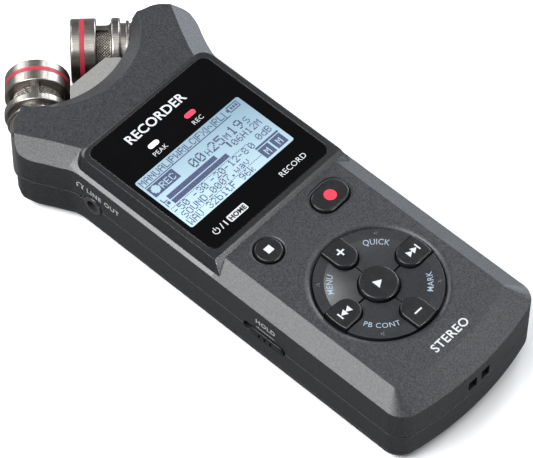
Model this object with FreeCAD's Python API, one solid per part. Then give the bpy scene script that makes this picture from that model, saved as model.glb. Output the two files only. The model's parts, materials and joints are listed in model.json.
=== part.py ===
import FreeCAD, Part
import math
import os
from FreeCAD import Vector

os.makedirs("parts", exist_ok=True)

# Portable field recorder with two swivelling microphones, in millimetres.
# It lies on its back: +Y runs towards the microphones, +Z out of the face.

# Case levels, measured up from the back
FACE_Z = 24.6
CHAMFER_Z = 21.4
PART_Z = 12.2
DOOR_LINE_Z = 4.8
BLOCK_Z = 26.0
WALL = 2.0

# Case outline
SIDE_X = 26.5
END_Y = -79.1
END_CORNER_X = 21.5
END_CORNER_Y = -76.7
SIDE_START_Y = -70.0
FLARE_Y = 35.0
HORN_X = 32.7
HORN_Y = 52.5
HORN_TIP_Y = 61.85
NOTCH_X = 20.6
NOTCH_TIP_Y = 63.2
NOTCH_MID_Y = 54.6
GROOVE = 0.28

# Bridge between the horns, and the strap holes in the end wall
BRIDGE_LOW_Z = 16.6
BRIDGE_HIGH_Z = 20.9
STRAP_IN_X = 0.9
STRAP_OUT_X = 4.0
STRAP_INNER_Y = -76.3
STRAP_BAR_Y = -77.9
STRAP_LOW_Z = 13.7
STRAP_HIGH_Z = 17.7

# Face outline, inside the chamfer
FACE_X = 21.2
FACE_END_Y = -71.9
FACE_CORNER_Y = -68.9
FACE_NOTCH_MID_Y = 49.8

# Inner space
CAVITY_X = 24.4
CAVITY_END_Y = -75.4
CAVITY_TOP_Y = 47.0
CAVITY_STEP_Z = 20.4
CAVITY_TOP_Z = 22.6
UPPER_CAVITY_X = 20.8
UPPER_CAVITY_END_Y = -71.0

# Display block: half width, low end and high end at each level
BLOCK_LEVELS = [(21.0, 25.6, -13.2, 41.0), (24.7, 24.6, -10.5, 40.7), (25.6, 24.35, -9.9, 40.1),
                (BLOCK_Z, 24.2, -9.6, 39.1)]
BLOCK_LOW_R = 0.3
BLOCK_HIGH_R = 3.4
GLASS_X = 22.4
GLASS_LOW_Y = -7.9
GLASS_HIGH_Y = 38.2
GLASS_R = 2.7
GLASS_T = 1.1
LCD_X = 20.3
LCD_LOW_Y = 1.2
LCD_HIGH_Y = 23.5
LIGHTS = ((-8.2, 27.4), (5.6, 27.3))
LIGHT_HALF_W = 1.8
LIGHT_HALF_H = 0.8

# Keys
PAD_Y = -44.65
PAD_R = 17.0
PAD_HOLE_R = 17.4
PAD_BEVEL_R = 19.2
PAD_BAND_R = 14.2
TILE_Z = 24.4
KEY_Z = 25.2
PLAY_R = 5.3
PLAY_Z = 24.9
KEY_HALF = 3.6
KEY_TIP_R = 8.4
KEY_GAP = 0.35
KEY_BASE_Z = 21.9
FLANGE_W = 0.9
FLANGE_T = 0.5
HOME_Z = 25.0
RECORD_Z = 25.1
DISH_DEPTH = 1.0
BUMP_R = 15.6
SMALL_KEY_X = 11.8
SMALL_KEY_Y = -17.15
HOME_R = 3.8
RECORD_HALF_W = 5.65
RECORD_HALF_H = 3.8

# Board
BOARD_Z = 18.8
BOARD_T = 1.2
SWITCH_TOP_Z = 21.25

# Microphones
PIVOT_X = 22.6
PIVOT_Y = 57.0
MIC_Z = 12.2
SLOT_LOW_Z = 3.6
SLOT_HIGH_Z = 20.7
SLOT_WELL_Z = 8.2
SLOT_GAP = 0.4
SLOT_REACH = 18.0
# Start along the barrel and radius of each bore at the ends of the slot
SLOT_BORES = ((4.6, 8.0), (6.3, 8.55))
DRUM_R = 6.9
PIN_R = 2.0
PIN_FIT = 0.02
PIN_PLAY = 0.05
HEAD_R = 8.9
CAGE_R = 7.5
CAGE_IN_R = 6.5
NECK_R = 7.4
NECK_RIM_R = 8.1

# Stations along a microphone, measured from its pivot
NECK_START = 5.5
COLLAR_START = 9.15
COLLAR_END = 11.6
CAGE_START = 11.62
CAGE_END = 15.7
REAR_RING_START = 15.72
REAR_RING_END = 18.9
BAND_START = 18.92
BAND_END = 20.22
FRONT_RING_START = 20.24
FRONT_RING_END = 22.8
FRONT_OPENING_R = 7.2
CAPSULE_R = 5.0
WINDOW_HALF_W = 4.4
LEFT_WINDOW_TURN = 42.0
RIGHT_WINDOW_TURN = 63.5

# Batteries and door
CELL_R = 7.1
CELL_X = 7.7
CELL_Z = 9.2
CELL_LOW_Y = -72.0
CELL_LENGTH = 49.0
DOOR_Y = -19.0
DOOR_GAP = 0.3
DOOR_PLATE_Z = 1.7
DOOR_ROOM_Y = -74.4
DOOR_ROOM_R = 7.0

# Side fittings
JACK_Y = 32.4
JACK_R = 1.8
JACK_RING_R = 3.1
HOLD_LOW_Y = -36.5
HOLD_HIGH_Y = -21.9
HOLD_KNOB_L = 11.9
USB_Y = -7.0
TRIPOD_Y = 2.0
SPEAKER_Y = 24.0
SCREWS = [(20.4, 43.0), (20.6, -15.2), (20.6, -69.6)]


def box(x0, x1, y0, y1, z0, z1):
    return Part.makeBox(x1 - x0, y1 - y0, z1 - z0, Vector(x0, y0, z0))


def post(r, x, y, z0, z1):
    return Part.makeCylinder(r, z1 - z0, Vector(x, y, z0))


def rod(r, x0, x1, y=0.0, z=0.0):
    return Part.makeCylinder(r, x1 - x0, Vector(x0, y, z), Vector(1, 0, 0))


def extrude(wire, height):
    return Part.Face(wire).extrude(Vector(0, 0, height))


def fuse(shapes):
    out = shapes[0]
    if len(shapes) > 1:
        out = out.fuse(shapes[1:])
    return out.removeSplitter()


def line(a, b):
    return Part.LineSegment(a, b).toShape()


def arc(a, m, b):
    return Part.Arc(a, m, b).toShape()


def curve(points, start, end):
    spline = Part.BSplineCurve()
    spline.interpolate(Points=points, InitialTangent=start, FinalTangent=end)
    return spline.toShape()


def rounded(x0, x1, y0, y1, z, r_low, r_high):
    # Rectangle with its own corner radius at the low-Y and high-Y ends
    k = 1.0 - math.sqrt(0.5)

    def corner(cx, cy, sx, sy, r, along_x_first):
        a = Vector(cx - sx * r, cy, z)
        b = Vector(cx, cy - sy * r, z)
        m = Vector(cx - sx * r * k, cy - sy * r * k, z)
        return (a, m, b) if along_x_first else (b, m, a)

    lo_r = corner(x1, y0, 1, -1, r_low, True)
    hi_r = corner(x1, y1, 1, 1, r_high, False)
    hi_l = corner(x0, y1, -1, 1, r_high, True)
    lo_l = corner(x0, y0, -1, -1, r_low, False)
    edges = []
    for this, following in ((lo_r, hi_r), (hi_r, hi_l), (hi_l, lo_l), (lo_l, lo_r)):
        edges.append(arc(*this))
        edges.append(line(this[2], following[0]))
    return Part.Wire(edges)


def mirrored_outline(z, end_mid, end_corner, side_low, side_high, flare, tip, notch_mid):
    # Closed outline, symmetric about X = 0, always made of the same ten edges
    def right(p):
        return Vector(p[0], p[1], z)

    def left(p):
        return Vector(-p[0], p[1], z)

    up = Vector(0, 1, 0)
    down = Vector(0, -1, 0)
    kx = 0.293 * end_corner[0] + 0.707 * side_low[0]
    ky = 0.707 * end_corner[1] + 0.293 * side_low[1]
    knee = (kx, ky)
    edges = [
        arc(left(end_corner), Vector(0, end_mid, z), right(end_corner)),
        arc(right(end_corner), right(knee), right(side_low)),
        line(right(side_low), right(side_high)),
        curve([right(p) for p in flare], up, right(flare[-1]) - right(flare[-2])),
        curve([right(p) for p in tip], right(flare[-1]) - right(flare[-2]),
              right(tip[-1]) - right(tip[-2])),
        arc(right(tip[-1]), Vector(0, notch_mid, z), left(tip[-1])),
        curve([left(p) for p in reversed(tip)], left(tip[-2]) - left(tip[-1]),
              left(flare[-2]) - left(flare[-1])),
        curve([left(p) for p in reversed(flare)], left(flare[-2]) - left(flare[-1]), down),
        line(left(side_high), left(side_low)),
        arc(left(side_low), left(knee), left(end_corner)),
    ]
    return Part.Wire(edges)


def case_outline(z, inset=0.0):
    d = inset
    flare = [(SIDE_X - d, FLARE_Y), (28.3 - d, 42.3), (30.1 - d, 46.1), (32.1 - d, 50.1),
             (HORN_X - d, HORN_Y)]
    tip = [(HORN_X - d, HORN_Y), (32.2 - 0.9 * d, 54.9 - 0.3 * d), (30.1 - 0.7 * d, 57.5 - 0.7 * d),
           (26.4 - 0.4 * d, 60.9 - d), (23.6, HORN_TIP_Y - d), (NOTCH_X + 0.2 * d, NOTCH_TIP_Y - d)]
    return mirrored_outline(z, END_Y + d, (END_CORNER_X - 0.6 * d, END_CORNER_Y + d),
                            (SIDE_X - d, SIDE_START_Y + 0.4 * d), (SIDE_X - d, FLARE_Y),
                            flare, tip, NOTCH_MID_Y - d)


def long_outline(z, side_x, end_y, corner, side_low_y, flare, notch_tip, notch_mid):
    # Level of the chamfered top, with horns that run on past the real tips
    end = flare[-1]
    tip = [end, (0.5 * (end[0] + notch_tip[0]), end[1] + 1.0), notch_tip]
    return mirrored_outline(z, end_y, corner, (side_x, side_low_y), (side_x, flare[0][1]),
                            flare, tip, notch_mid)


def chamfer_outline():
    flare = [(SIDE_X, FLARE_Y), (28.3, 42.3), (30.1, 46.1), (32.4, 50.7), (38.6, 62.5)]
    return long_outline(CHAMFER_Z, SIDE_X, END_Y, (END_CORNER_X, END_CORNER_Y), SIDE_START_Y, flare,
                        (24.0, 68.8), NOTCH_MID_Y)


def face_outline():
    flare = [(FACE_X, FLARE_Y + 4.0), (22.6, 43.6), (24.7, 48.0), (27.3, 52.8), (34.6, 66.0)]
    return long_outline(FACE_Z, FACE_X, FACE_END_Y, (FACE_X - 0.7, FACE_CORNER_Y - 0.1),
                        FACE_CORNER_Y + 0.7, flare, (24.2, 68.0), FACE_NOTCH_MID_Y)


def stadium(half_w, half_h, x, y, z0, z1):
    core = box(x - half_w + half_h, x + half_w - half_h, y - half_h, y + half_h, z0, z1)
    ends = [post(half_h, x - half_w + half_h, y, z0, z1), post(half_h, x + half_w - half_h, y, z0, z1)]
    return fuse([core] + ends)


def soften(shape, radius, pick):
    edges = [e for e in shape.Edges if pick(e)]
    return shape.makeFillet(radius, edges)


def soften_flat(shape, size, pick):
    edges = [e for e in shape.Edges if pick(e)]
    return shape.makeChamfer(size, edges)


def level_edges(z):
    def pick(edge):
        box_of = edge.BoundBox
        return abs(box_of.ZMin - z) < 1e-4 and abs(box_of.ZMax - z) < 1e-4
    return pick


# ---------------------------------------------------------------- front cover
def cavity(z0, z1, x_half, y0, y1, r):
    return extrude(rounded(-x_half, x_half, y0, y1, z0, r, 2.0), z1 - z0)


def slot_cut():
    # The microphone bases turn in this slot; its ends follow the barrel at both limits
    cuts = []
    for side in (-1, 1):
        pivot = Vector(side * PIVOT_X, PIVOT_Y, MIC_Z)
        cuts.append(post(DRUM_R + SLOT_GAP, pivot.x, pivot.y, SLOT_LOW_Z, SLOT_HIGH_Z))
        for turn in (-1, 1):
            along = Vector(turn, 1, 0).normalize()
            for start, radius in SLOT_BORES:
                cuts.append(Part.makeCylinder(radius, SLOT_REACH, pivot + along * start, along))
        corners = [(0.0, -0.6), (SLOT_REACH, SLOT_REACH - 0.6), (-SLOT_REACH, SLOT_REACH - 0.6)]
        wire = [Vector(pivot.x + x, pivot.y + y, SLOT_LOW_Z) for x, y in corners + corners[:1]]
        cuts.append(extrude(Part.makePolygon(wire), SLOT_HIGH_Z - SLOT_LOW_Z))
        start, radius = SLOT_BORES[0]
        well = box(start, SLOT_REACH, -radius, radius, SLOT_WELL_Z, MIC_Z)
        well.rotate(Vector(0, 0, 0), Vector(0, 0, 1), 90.0 - 45.0 * side)
        well.translate(Vector(pivot.x, pivot.y, 0))
        cuts.append(well)
    return fuse(cuts)


def bridge_shape(grow):
    g = grow
    pts = [(6.6 + 0.4 * g, 59.8 + g), (9.5 + g, 56.9 + 0.4 * g), (9.5 + g, 51.5 - g),
           (-9.5 - g, 51.5 - g), (-9.5 - g, 56.9 + 0.4 * g), (-6.6 - 0.4 * g, 59.8 + g)]
    wire = Part.makePolygon([Vector(x, y, BRIDGE_LOW_Z - g) for x, y in pts + pts[:1]])
    return extrude(wire, BRIDGE_HIGH_Z - BRIDGE_LOW_Z + 2.0 * g)


def key_cell(angle_deg, half_width, tip_r, rim_r, z0, z1):
    # U-shaped cross key that points at the pad's centre and is cut off at the rim
    u_centre = tip_r + half_width
    shape = fuse([post(half_width, u_centre, 0, z0, z1),
                  box(u_centre, rim_r + 2.0, -half_width, half_width, z0, z1)])
    shape = shape.common(post(rim_r, 0, 0, z0 - 1.0, z1 + 1.0))
    shape.rotate(Vector(0, 0, 0), Vector(0, 0, 1), angle_deg)
    return shape


def rim_cut(r_in, r_out, depth, x, y):
    # Cutter that rounds the mouth of a round hole in the face
    low = FACE_Z - depth
    radius = ((r_out - r_in) ** 2 + depth ** 2) / (2.0 * depth)
    half = 0.5 * math.asin((r_out - r_in) / radius)
    middle = Vector(r_out - radius * math.sin(half), 0, FACE_Z - radius * (1.0 - math.cos(half)))
    above = FACE_Z + 1.0
    edges = [
        line(Vector(0, 0, low), Vector(r_in, 0, low)),
        arc(Vector(r_in, 0, low), middle, Vector(r_out, 0, FACE_Z)),
        line(Vector(r_out, 0, FACE_Z), Vector(r_out, 0, above)),
        line(Vector(r_out, 0, above), Vector(0, 0, above)),
        line(Vector(0, 0, above), Vector(0, 0, low)),
    ]
    cutter = Part.Face(Part.Wire(edges)).revolve(Vector(0, 0, 0), Vector(0, 0, 1), 360.0)
    cutter.translate(Vector(x, y, 0))
    return cutter


def build_front_cover():
    upper = Part.makeLoft([chamfer_outline(), face_outline()], True, True)
    upper = upper.common(extrude(case_outline(CHAMFER_Z), FACE_Z - CHAMFER_Z))
    lower = extrude(case_outline(PART_Z), CHAMFER_Z - PART_Z)
    wires = [rounded(-x, x, low, high, z, BLOCK_LOW_R, BLOCK_HIGH_R) for z, x, low, high in BLOCK_LEVELS]
    block = [Part.makeLoft([a, b], True, True) for a, b in zip(wires[:-1], wires[1:])]
    body = fuse([lower, upper] + block)

    # Cavity
    room = cavity(PART_Z - 1.0, CAVITY_STEP_Z, CAVITY_X, CAVITY_END_Y, CAVITY_TOP_Y, 5.5)
    attic = cavity(CAVITY_STEP_Z, CAVITY_TOP_Z, UPPER_CAVITY_X, UPPER_CAVITY_END_Y, CAVITY_TOP_Y, 3.0)
    body = body.cut([room, attic])

    # Screw posts
    posts = []
    pilots = []
    for x, y in SCREWS:
        for side in (-1, 1):
            posts.append(post(3.0, side * x, y, PART_Z, CAVITY_TOP_Z))
            pilots.append(post(1.05, side * x, y, PART_Z - 0.1, 18.0))
    body = body.fuse([p.common(extrude(case_outline(PART_Z), CAVITY_STEP_Z + 0.6 - PART_Z)) for p in posts])
    body = body.cut(pilots)

    # Display openings
    glass = extrude(rounded(-GLASS_X - 0.1, GLASS_X + 0.1, GLASS_LOW_Y - 0.1, GLASS_HIGH_Y + 0.1,
                            BLOCK_Z - GLASS_T - 0.05, GLASS_R, GLASS_R), 3.0)
    lcd_hole = box(-LCD_X - 0.3, LCD_X + 0.3, LCD_LOW_Y - 0.3, LCD_HIGH_Y + 0.3, 20.0, 26.0)
    body = body.cut([glass, lcd_hole] + light_holes(0.2))

    # Key openings
    pad_hole = post(PAD_HOLE_R, 0, PAD_Y, 20.0, 27.0)
    bevel = rim_cut(PAD_HOLE_R, PAD_BEVEL_R, 0.9, 0.0, PAD_Y)
    home_hole = post(HOME_R + 0.35, -SMALL_KEY_X, SMALL_KEY_Y, 20.0, 27.0)
    home_bevel = rim_cut(HOME_R + 0.35, HOME_R + 1.15, 0.5, -SMALL_KEY_X, SMALL_KEY_Y)
    record_hole = stadium(RECORD_HALF_W + 0.35, RECORD_HALF_H + 0.35, SMALL_KEY_X, SMALL_KEY_Y, 20.0, 27.0)
    record_dish = stadium(RECORD_HALF_W + 1.0, RECORD_HALF_H + 1.0, SMALL_KEY_X, SMALL_KEY_Y,
                          FACE_Z - 0.35, 27.0)
    body = body.cut([pad_hole, bevel, home_hole, home_bevel, record_hole, record_dish])

    # Horn slots, pivot pin sockets and the seat of the bridge
    pins = [post(PIN_R + PIN_FIT, side * PIVOT_X, PIVOT_Y, 15.0, 22.6) for side in (-1, 1)]
    body = body.cut([slot_cut(), bridge_shape(0.08)] + pins)

    # Strap holes with a bar between them
    holes = [box(x, x + STRAP_OUT_X - STRAP_IN_X, END_Y - 1.0, STRAP_INNER_Y, STRAP_LOW_Z, STRAP_HIGH_Z)
             for x in (-STRAP_OUT_X, STRAP_IN_X)]
    tunnel = box(-STRAP_OUT_X, STRAP_OUT_X, STRAP_BAR_Y, STRAP_INNER_Y, STRAP_LOW_Z, STRAP_HIGH_Z)
    return body.cut(holes + [tunnel] + side_openings())


def side_openings():
    # Openings on the parting line, cut from both covers
    slot = box(-27.0, -22.0, HOLD_LOW_Y + 1.6, HOLD_HIGH_Y - 1.6, PART_Z - 1.6, PART_Z + 1.6)
    ends = [rod(1.6, -27.0, -22.0, y, PART_Z) for y in (HOLD_LOW_Y + 1.6, HOLD_HIGH_Y - 1.6)]
    jacks = [rod(JACK_RING_R + 0.05, x, x + 6.0, JACK_Y, PART_Z) for x in (-28.0, 22.0)]
    mark = box(-27.0, -26.1, 36.2, 37.2, PART_Z - 0.5, PART_Z + 0.5)
    usb = usb_profile(0.1, 22.0, 28.0)
    card = box(22.0, 28.0, -0.3, 11.7, PART_Z - 0.75, PART_Z + 0.75)
    finger = rod(3.0, 25.6, 29.0, 5.7, PART_Z)
    return [slot] + ends + jacks + [mark, usb, card, finger]


def usb_profile(grow, x0, x1):
    half_w = 4.5 + grow
    half_h = 1.6 + grow
    low = USB_Y - half_w + half_h
    high = USB_Y + half_w - half_h
    core = box(x0, x1, low, high, PART_Z - half_h, PART_Z + half_h)
    ends = [rod(half_h, x0, x1, y, PART_Z) for y in (low, high)]
    return fuse([core] + ends)


# ----------------------------------------------------------------- rear cover
def tapered_back():
    # Lower case, rounded under in three steps
    levels = [(DOOR_LINE_Z, 0.0), (2.6, 0.45), (1.0, 1.5), (0.0, 3.2)]
    parts = [extrude(case_outline(DOOR_LINE_Z), PART_Z - DOOR_LINE_Z)]
    for (z_hi, d_hi), (z_lo, d_lo) in zip(levels[:-1], levels[1:]):
        parts.append(Part.makeLoft([case_outline(z_lo, d_lo), case_outline(z_hi, d_hi)], True, True))
    return fuse(parts)


def build_rear_cover(back):
    body = back.cut(box(-40, 40, -90, DOOR_Y, -1, DOOR_LINE_Z))
    upper_room = cavity(WALL, PART_Z + 1.0, CAVITY_X - 1.2, DOOR_Y + WALL, CAVITY_TOP_Y, 1.0)
    lower_room = cavity(DOOR_LINE_Z + 1.4, PART_Z + 1.0, CAVITY_X, CAVITY_END_Y, DOOR_Y + 4.0, 5.5)
    body = body.cut([upper_room, lower_room])

    # Battery tub, open towards the door
    tub = box(-17.2, 17.2, -75.0, -19.9, DOOR_LINE_Z, 18.2)
    tub_room = box(-15.4, 15.4, -73.6, -21.3, -1.0, 16.8)
    body = body.fuse(tub).cut(tub_room)

    # Screw posts and holes
    posts = []
    holes = []
    for index, (x, y) in enumerate(SCREWS):
        under_door = y < DOOR_Y
        seat = DOOR_LINE_Z if under_door else 0.0
        for side in (-1, 1):
            posts.append(post(3.0, side * x, y, seat + 1.0, PART_Z).common(back))
            holes.append(post(1.25, side * x, y, -1.0, PART_Z + 1.0))
            holes.append(post(2.1, side * x, y, -1.0, seat + 1.9))
    body = body.fuse(posts).cut(holes)

    # Tripod insert seat, loudspeaker holes, pivot pin sockets
    seat = post(6.0, 0, TRIPOD_Y, 0.5, 8.0)
    body = body.fuse(seat).cut(post(4.5, 0, TRIPOD_Y, -1.0, 7.0))
    grille = []
    for ring, count in ((0.0, 1), (2.6, 6), (5.2, 12)):
        for index in range(count):
            angle = 2.0 * math.pi * index / count
            x = ring * math.cos(angle)
            y = SPEAKER_Y + ring * math.sin(angle)
            grille.append(post(0.7, x, y, -1.0, 4.0))
    pins = [post(PIN_R + PIN_FIT, side * PIVOT_X, PIVOT_Y, 1.6, 8.0) for side in (-1, 1)]
    body = body.cut(grille + pins + [slot_cut()])

    # Groove along the parting line
    ring = extrude(case_outline(PART_Z - GROOVE), GROOVE)
    ring = ring.cut(extrude(case_outline(PART_Z - GROOVE, GROOVE), GROOVE))
    return body.cut([ring] + side_openings())


def build_battery_door(back):
    slab = back.common(box(-40, 40, -90, DOOR_Y - DOOR_GAP, -1, DOOR_LINE_Z - DOOR_GAP))
    room_x = SIDE_X - WALL
    inside = rounded(-room_x, room_x, DOOR_ROOM_Y, DOOR_Y + 5.0, DOOR_PLATE_Z, DOOR_ROOM_R, 0.5)
    door = slab.cut(extrude(inside, 6.0))
    ribs = [box(-6.0, 6.0, y - 0.4, y + 0.4, -0.1, 0.35) for y in (-30.0, -28.0, -26.0, -24.0)]
    return door.cut(ribs)


# -------------------------------------------------------------- small fittings
def build_window():
    sheet = extrude(rounded(-GLASS_X, GLASS_X, GLASS_LOW_Y, GLASS_HIGH_Y, BLOCK_Z - GLASS_T,
                            GLASS_R, GLASS_R), GLASS_T)
    return sheet.cut(light_holes(0.05))


def light_holes(grow):
    return [stadium(LIGHT_HALF_W + grow, LIGHT_HALF_H + grow, x, y, 20.0, 27.0) for x, y in LIGHTS]


def build_light(x, y):
    return stadium(LIGHT_HALF_W, LIGHT_HALF_H, x, y, BOARD_Z + BOARD_T + 0.1, BLOCK_Z)


def round_key(r, x, y, top_z, edge):
    key = post(r, x, y, KEY_BASE_Z, top_z)
    key = soften(key, edge, level_edges(top_z))
    return fuse([key, post(r + FLANGE_W, x, y, KEY_BASE_Z, KEY_BASE_Z + FLANGE_T)])


def build_record_key():
    key = stadium(RECORD_HALF_W, RECORD_HALF_H, SMALL_KEY_X, SMALL_KEY_Y, KEY_BASE_Z, RECORD_Z)
    key = soften(key, 0.5, level_edges(RECORD_Z))
    flange = stadium(RECORD_HALF_W + FLANGE_W, RECORD_HALF_H + FLANGE_W, SMALL_KEY_X, SMALL_KEY_Y,
                     KEY_BASE_Z, KEY_BASE_Z + FLANGE_T)
    return fuse([key, flange])


def build_cross_key(angle):
    key = key_cell(0.0, KEY_HALF, KEY_TIP_R, PAD_R, KEY_BASE_Z, KEY_Z)
    key = soften(key, 0.4, level_edges(KEY_Z))
    lip = key_cell(0.0, KEY_HALF, KEY_TIP_R, PAD_R + 1.2, KEY_BASE_Z, KEY_BASE_Z + FLANGE_T)
    key = fuse([key, lip])
    key.rotate(Vector(0, 0, 0), Vector(0, 0, 1), angle)
    key.translate(Vector(0, PAD_Y, 0))
    return key


def build_tile(angle):
    # Quarter of the pad between two cross keys, with a shallow dish and a locating bump
    half = 0.25
    wedge = box(half, PAD_R + 3.0, half, PAD_R + 3.0, KEY_BASE_Z, TILE_Z)
    tile = wedge.common(post(PAD_R, 0, 0, KEY_BASE_Z, TILE_Z))
    lip = box(half, PAD_R + 3.0, half, PAD_R + 3.0, KEY_BASE_Z, KEY_BASE_Z + FLANGE_T)
    lip = lip.common(post(PAD_R + 1.2, 0, 0, KEY_BASE_Z, KEY_BASE_Z + FLANGE_T))
    tile = fuse([tile, lip])
    neighbours = [key_cell(a, KEY_HALF + KEY_GAP, KEY_TIP_R - KEY_GAP, PAD_R + 2.0, 20.0, 27.0)
                  for a in (0.0, 90.0)]
    tile = tile.cut(neighbours + [post(PLAY_R + KEY_GAP, 0, 0, 20.0, 27.0)])
    dish_r = PAD_BAND_R * PAD_BAND_R / (2.0 * DISH_DEPTH)
    tile = tile.cut(Part.makeSphere(dish_r, Vector(0, 0, TILE_Z - DISH_DEPTH + dish_r)))
    bump_x = BUMP_R * math.sqrt(0.5)
    bump = Part.makeSphere(0.6, Vector(bump_x, bump_x, TILE_Z - 0.25))
    tile = fuse([tile, bump])
    tile.rotate(Vector(0, 0, 0), Vector(0, 0, 1), angle)
    tile.translate(Vector(0, PAD_Y, 0))
    return tile


def key_points():
    points = [(-SMALL_KEY_X, SMALL_KEY_Y), (SMALL_KEY_X, SMALL_KEY_Y), (0.0, PAD_Y)]
    for index in range(4):
        angle = 0.5 * math.pi * index
        points.append((12.0 * math.cos(angle), PAD_Y + 12.0 * math.sin(angle)))
        tile_angle = angle + 0.25 * math.pi
        points.append((12.0 * math.cos(tile_angle), PAD_Y + 12.0 * math.sin(tile_angle)))
    return points


def build_switches():
    # One tactile switch under each key
    z0 = BOARD_Z + BOARD_T
    items = []
    for x, y in key_points():
        can = box(x - 1.5, x + 1.5, y - 1.5, y + 1.5, z0, z0 + 0.9)
        items.append(fuse([can, post(0.9, x, y, z0 + 0.5, SWITCH_TOP_Z)]))
    return Part.makeCompound(items)


def build_board():
    board = extrude(rounded(-23.4, 23.4, -70.0, 46.0, BOARD_Z, 3.0, 3.0), BOARD_T)
    holes = [post(3.3, side * x, y, 18.0, 21.0) for x, y in SCREWS for side in (-1, 1)]
    return board.cut(holes)


def build_lcd_holder():
    frame = box(-LCD_X, LCD_X, LCD_LOW_Y, LCD_HIGH_Y, BOARD_Z + BOARD_T + 0.05, 23.2)
    return frame.cut(box(-LCD_X + 1.2, LCD_X - 1.2, LCD_LOW_Y + 1.2, LCD_HIGH_Y - 1.2, 19.0, 22.4))


def build_jack(side):
    ring = rod(JACK_RING_R, 23.1, 26.9, JACK_Y, PART_Z)
    ring = soften(ring, 0.3, lambda e: abs(e.BoundBox.XMin - 26.9) < 1e-4)
    shell = box(12.4, 23.1, JACK_Y - 3.2, JACK_Y + 3.2, PART_Z - 2.9, PART_Z + 2.9)
    jack = fuse([ring, shell]).cut(rod(JACK_R, 13.4, 28.0, JACK_Y, PART_Z))
    if side < 0:
        jack = jack.mirror(Vector(0, 0, 0), Vector(1, 0, 0))
    return jack


def build_usb():
    shell = usb_profile(0.0, 18.6, 26.3)
    shell = shell.cut(usb_profile(-0.35, 19.4, 27.0))
    tongue = box(19.0, 25.4, USB_Y - 3.3, USB_Y + 3.3, PART_Z - 0.35, PART_Z + 0.35)
    return fuse([shell, tongue])


def build_card_slot():
    case = box(9.0, 23.1, -1.4, 12.8, PART_Z - 1.4, PART_Z + 1.4)
    return case.cut(box(9.8, 25.0, -0.1, 11.5, PART_Z - 0.8, PART_Z + 0.8))


def build_card():
    card = box(10.4, 26.4, 0.2, 11.2, PART_Z - 0.45, PART_Z + 0.45)
    corner = box(10.0, 12.0, 9.6, 12.0, PART_Z - 1.0, PART_Z + 1.0)
    return card.cut(corner)


def build_hold_knob():
    # Bevelled slider with three finger grooves
    y0 = HOLD_LOW_Y + 0.4
    y1 = y0 + HOLD_KNOB_L
    half = 1.3
    middle = [(y0 + half, PART_Z), (y1 - half, PART_Z)]
    body = fuse([box(-27.1, -24.0, y0 + half, y1 - half, PART_Z - half, PART_Z + half)]
                + [rod(half, -27.1, -24.0, y, z) for y, z in middle])
    body = soften_flat(body, 0.35, lambda e: abs(e.BoundBox.XMax + 27.1) < 1e-4)
    grooves = [box(-28.0, -26.5, y1 - d - 0.3, y1 - d + 0.3, PART_Z - 2.0, PART_Z + 0.8)
               for d in (3.7, 5.7, 7.7)]
    stem = box(-24.2, -20.6, y0 + 4.6, y0 + 6.8, PART_Z - 0.9, PART_Z + 0.9)
    return fuse([body.cut(grooves), stem])


def build_hold_base():
    base = box(-23.6, -18.4, HOLD_LOW_Y, HOLD_HIGH_Y + 1.0, PART_Z - 2.4, PART_Z + 2.4)
    y0 = HOLD_LOW_Y + 0.4
    path = box(-24.0, -20.2, y0 + 4.2, y0 + 9.9, PART_Z - 1.2, PART_Z + 1.2)
    return base.cut(path)


def build_speaker():
    y = SPEAKER_Y
    return fuse([post(8.0, 0, y, 2.3, 4.2), post(5.0, 0, y, 4.2, 6.8)])


def build_tripod_insert():
    insert = post(4.45, 0, TRIPOD_Y, 0.3, 6.9)
    return insert.cut(post(2.6, 0, TRIPOD_Y, -1.0, 6.0))


def build_cells():
    cells = []
    for side in (-1, 1):
        low_end = Vector(side * CELL_X, CELL_LOW_Y, CELL_Z)
        can = Part.makeCylinder(CELL_R, CELL_LENGTH, low_end, Vector(0, 1, 0))
        can = soften(can, 0.7, lambda e: e.BoundBox.YLength < 1e-4)
        nub_y = CELL_LOW_Y + CELL_LENGTH - 0.1 if side < 0 else CELL_LOW_Y - 1.0
        nub = Part.makeCylinder(2.7, 1.1, Vector(side * CELL_X, nub_y, CELL_Z), Vector(0, 1, 0))
        cells.append(fuse([can, nub]))
    return Part.makeCompound(cells)


def build_contacts():
    # Flat plates at both ends of the tub
    plates = []
    for side in (-1, 1):
        x = side * CELL_X
        plates.append(box(x - 4.5, x + 4.5, -21.75, -21.35, CELL_Z - 5.0, CELL_Z + 5.0))
        plates.append(box(x - 4.5, x + 4.5, -73.55, -73.15, CELL_Z - 5.0, CELL_Z + 5.0))
    return Part.makeCompound(plates)


def build_screws():
    screws = []
    for x, y in SCREWS:
        z0 = DOOR_LINE_Z + 0.3 if y < DOOR_Y else 0.3
        for side in (-1, 1):
            head = post(1.95, side * x, y, z0, z0 + 1.5)
            shank = post(1.0, side * x, y, z0 + 1.0, z0 + 12.6 if y > DOOR_Y else 17.5)
            cross = [box(side * x - 1.1, side * x + 1.1, y - 0.25, y + 0.25, z0 - 0.1, z0 + 0.7),
                     box(side * x - 0.25, side * x + 0.25, y - 1.1, y + 1.1, z0 - 0.1, z0 + 0.7)]
            screws.append(fuse([head, shank]).cut(cross))
    return Part.makeCompound(screws)


def build_pins():
    pins = [post(PIN_R, side * PIVOT_X, PIVOT_Y, 1.8, 22.4) for side in (-1, 1)]
    return Part.makeCompound(pins)


# ---------------------------------------------------------------- microphones
# Each part is drawn along +X from the pivot at the origin, then turned into place.
def tube(r_out, r_in, x0, x1):
    return rod(r_out, x0, x1).cut(rod(r_in, x0 - 1.0, x1 + 1.0))


def flat_across(edge):
    return edge.BoundBox.XLength < 1e-4


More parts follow.
